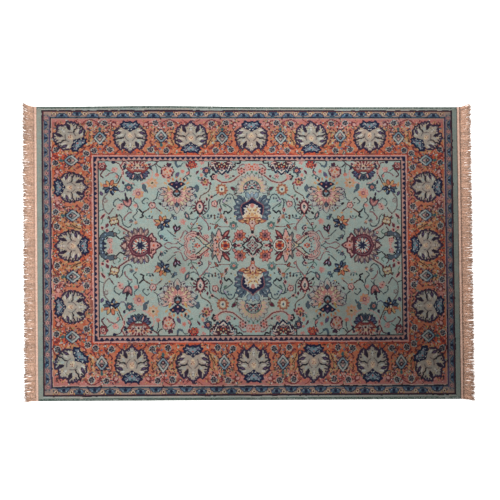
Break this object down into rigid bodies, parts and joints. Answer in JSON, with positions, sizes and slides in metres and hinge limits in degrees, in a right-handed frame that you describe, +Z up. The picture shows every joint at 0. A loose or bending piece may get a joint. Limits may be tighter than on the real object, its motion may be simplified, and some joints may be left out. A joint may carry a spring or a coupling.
{
  "type": "persian rug",
  "caption": "Flat rectangular woven pile rug with overcast long sides and a fringe on each short end, for laying on a floor.",
  "frame": {"origin": "on the floor, under the middle of the carpet", "axes": "+X along the rug's length towards one fringe, +Y along its width, +Z up out of the pile"},
  "size_m": [2.4482, 1.6327, 0.0111],
  "materials": {
    "pile": "short cut wool-like pile, sage field and coral border with a floral pattern",
    "overcast_binding": "dark green yarn wound round the side edge",
    "fringe_cotton": "sand-coloured twisted cotton yarn"
  },
  "bodies": {
    "root": {"carpet": "pile", "binding_back": "overcast_binding", "binding_front": "overcast_binding", "fringe_left": "fringe_cotton", "fringe_right": "fringe_cotton"}
  },
  "joints": []
}
